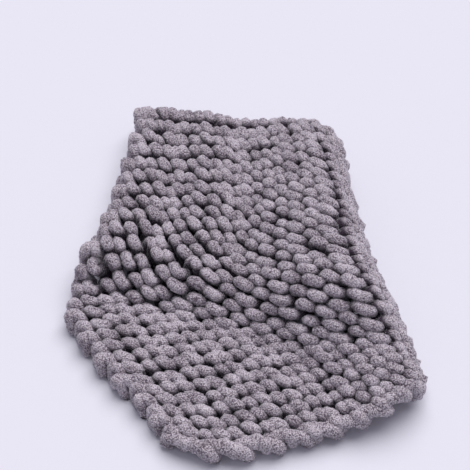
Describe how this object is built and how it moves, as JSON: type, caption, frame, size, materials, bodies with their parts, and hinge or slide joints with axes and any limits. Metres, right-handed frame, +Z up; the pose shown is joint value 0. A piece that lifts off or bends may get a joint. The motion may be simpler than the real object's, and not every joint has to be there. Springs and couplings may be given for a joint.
{
  "type": "chunky knit blanket",
  "caption": "Thick hand-knit chenille blanket laid out on the floor: flat near end, soft lengthwise folds, a ridge along one side and the far end turned under.",
  "frame": {"origin": "middle of the blanket's footprint, on the floor it lies on", "axes": "+Z up from the floor, +Y along the blanket towards the end that is turned under, +X to its right with the ridge"},
  "size_m": [0.7408, 0.9174, 0.1798],
  "materials": {
    "chenille_yarn": "soft matte chenille pile, mauve grey"
  },
  "bodies": {
    "root": {"blanket": "chenille_yarn"}
  },
  "joints": []
}
